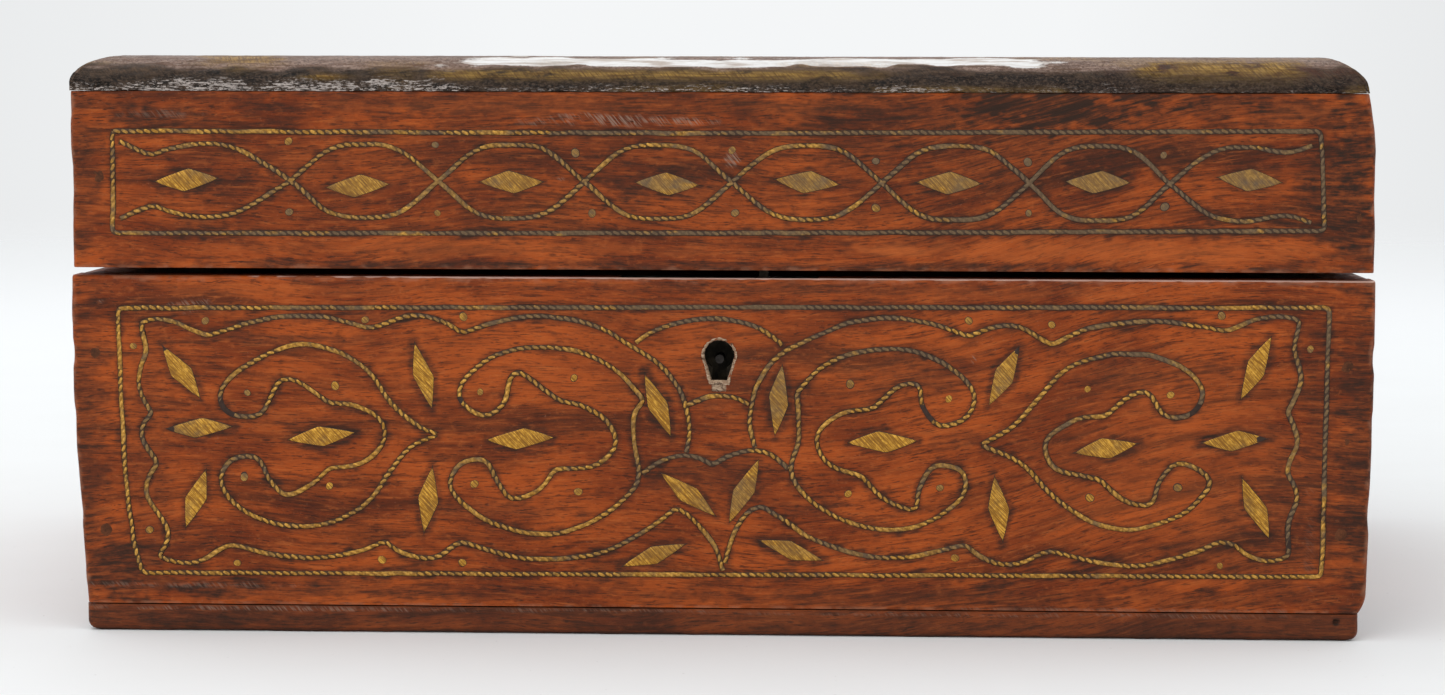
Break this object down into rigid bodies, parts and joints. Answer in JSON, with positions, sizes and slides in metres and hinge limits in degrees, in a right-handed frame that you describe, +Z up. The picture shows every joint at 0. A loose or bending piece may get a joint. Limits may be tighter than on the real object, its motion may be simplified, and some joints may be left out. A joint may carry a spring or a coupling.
{
  "type": "inlaid wooden box",
  "caption": "Rectangular rosewood box with a hinged lid, brass wire scrolls and leaves inlaid in its front, brass-covered lid edges and a key lock.",
  "frame": {"origin": "centre of the underside's bounding box, on the surface that the box stands on", "axes": "+X along the front to the viewer's right, -Y out of the front, +Z up"},
  "size_m": [0.2914, 0.2012, 0.1302],
  "materials": {
    "rosewood": "waxed, worn satin",
    "rosewood_boards": "worn, dull",
    "brass_wire": "filed flush, partly tarnished",
    "brass_edging": "dark crusted patina, rubbed bright in places",
    "brass_fittings": "tarnished satin",
    "iron": "dull, oxidised"
  },
  "bodies": {
    "base": {"base_back_panel": "rosewood", "base_border_wire": "brass_wire", "base_front_panel": "rosewood", "base_left_panel": "rosewood", "base_nail_back_left_lower": "iron", "base_nail_back_left_upper": "iron", "base_nail_back_right_lower": "iron", "base_nail_back_right_upper": "iron", "base_nail_front_left_lower": "iron", "base_nail_front_left_upper": "iron", "base_nail_front_right_lower": "iron", "base_nail_front_right_upper": "iron", "base_right_panel": "rosewood", "bottom_board": "rosewood_boards", "frame_wire_left": "brass_wire", "frame_wire_right": "brass_wire", "heart_wire": "brass_wire", "hinge_left_base_leaf": "brass_fittings", "hinge_left_base_screw_inner": "brass_fittings", "hinge_left_base_screw_outer": "brass_fittings", "hinge_left_pin": "iron", "hinge_right_base_leaf": "brass_fittings", "hinge_right_base_screw_inner": "brass_fittings", "hinge_right_base_screw_outer": "brass_fittings", "hinge_right_pin": "iron", "keyhole_arch_wire_above": "brass_wire", "keyhole_arch_wire_below": "brass_wire", "lock_case": "brass_fittings", "lock_key_pin": "iron", "lock_screw_left": "brass_fittings", "lock_screw_right": "brass_fittings", "palmette_wire_inner_left": "brass_wire", "palmette_wire_inner_right": "brass_wire", "palmette_wire_outer_left": "brass_wire", "palmette_wire_outer_right": "brass_wire"},
    "lid": {"edge_strip_back": "brass_edging", "edge_strip_front": "brass_edging", "edge_strip_left": "brass_edging", "edge_strip_right": "brass_edging", "hinge_left_lid_leaf": "brass_fittings", "hinge_left_lid_screw_inner": "brass_fittings", "hinge_left_lid_screw_outer": "brass_fittings", "hinge_right_lid_leaf": "brass_fittings", "hinge_right_lid_screw_inner": "brass_fittings", "hinge_right_lid_screw_outer": "brass_fittings", "lid_back_panel": "rosewood", "lid_border_wire": "brass_wire", "lid_chain_wire": "brass_wire", "lid_front_panel": "rosewood", "lid_left_panel": "rosewood", "lid_nail_back_left": "iron", "lid_nail_back_right": "iron", "lid_nail_front_left": "iron", "lid_nail_front_right": "iron", "lid_right_panel": "rosewood", "strike_plate": "brass_fittings", "strike_screw_left": "brass_fittings", "strike_screw_right": "brass_fittings", "top_board": "rosewood_boards"},
    "lock_bolt": {"lock_bolt": "brass_fittings"}
  },
  "joints": [
    {"name": "lid_hinge", "type": "hinge", "parent": "base", "child": "lid", "pos_m": [0, 0.09863, 0.0815], "axis": [-1, 0, 0], "range_deg": [0, 98]},
    {"name": "lock_bolt_slide", "type": "slide", "parent": "base", "child": "lock_bolt", "axis": [1, 0, 0], "range_m": [0, 0.005]}
  ]
}
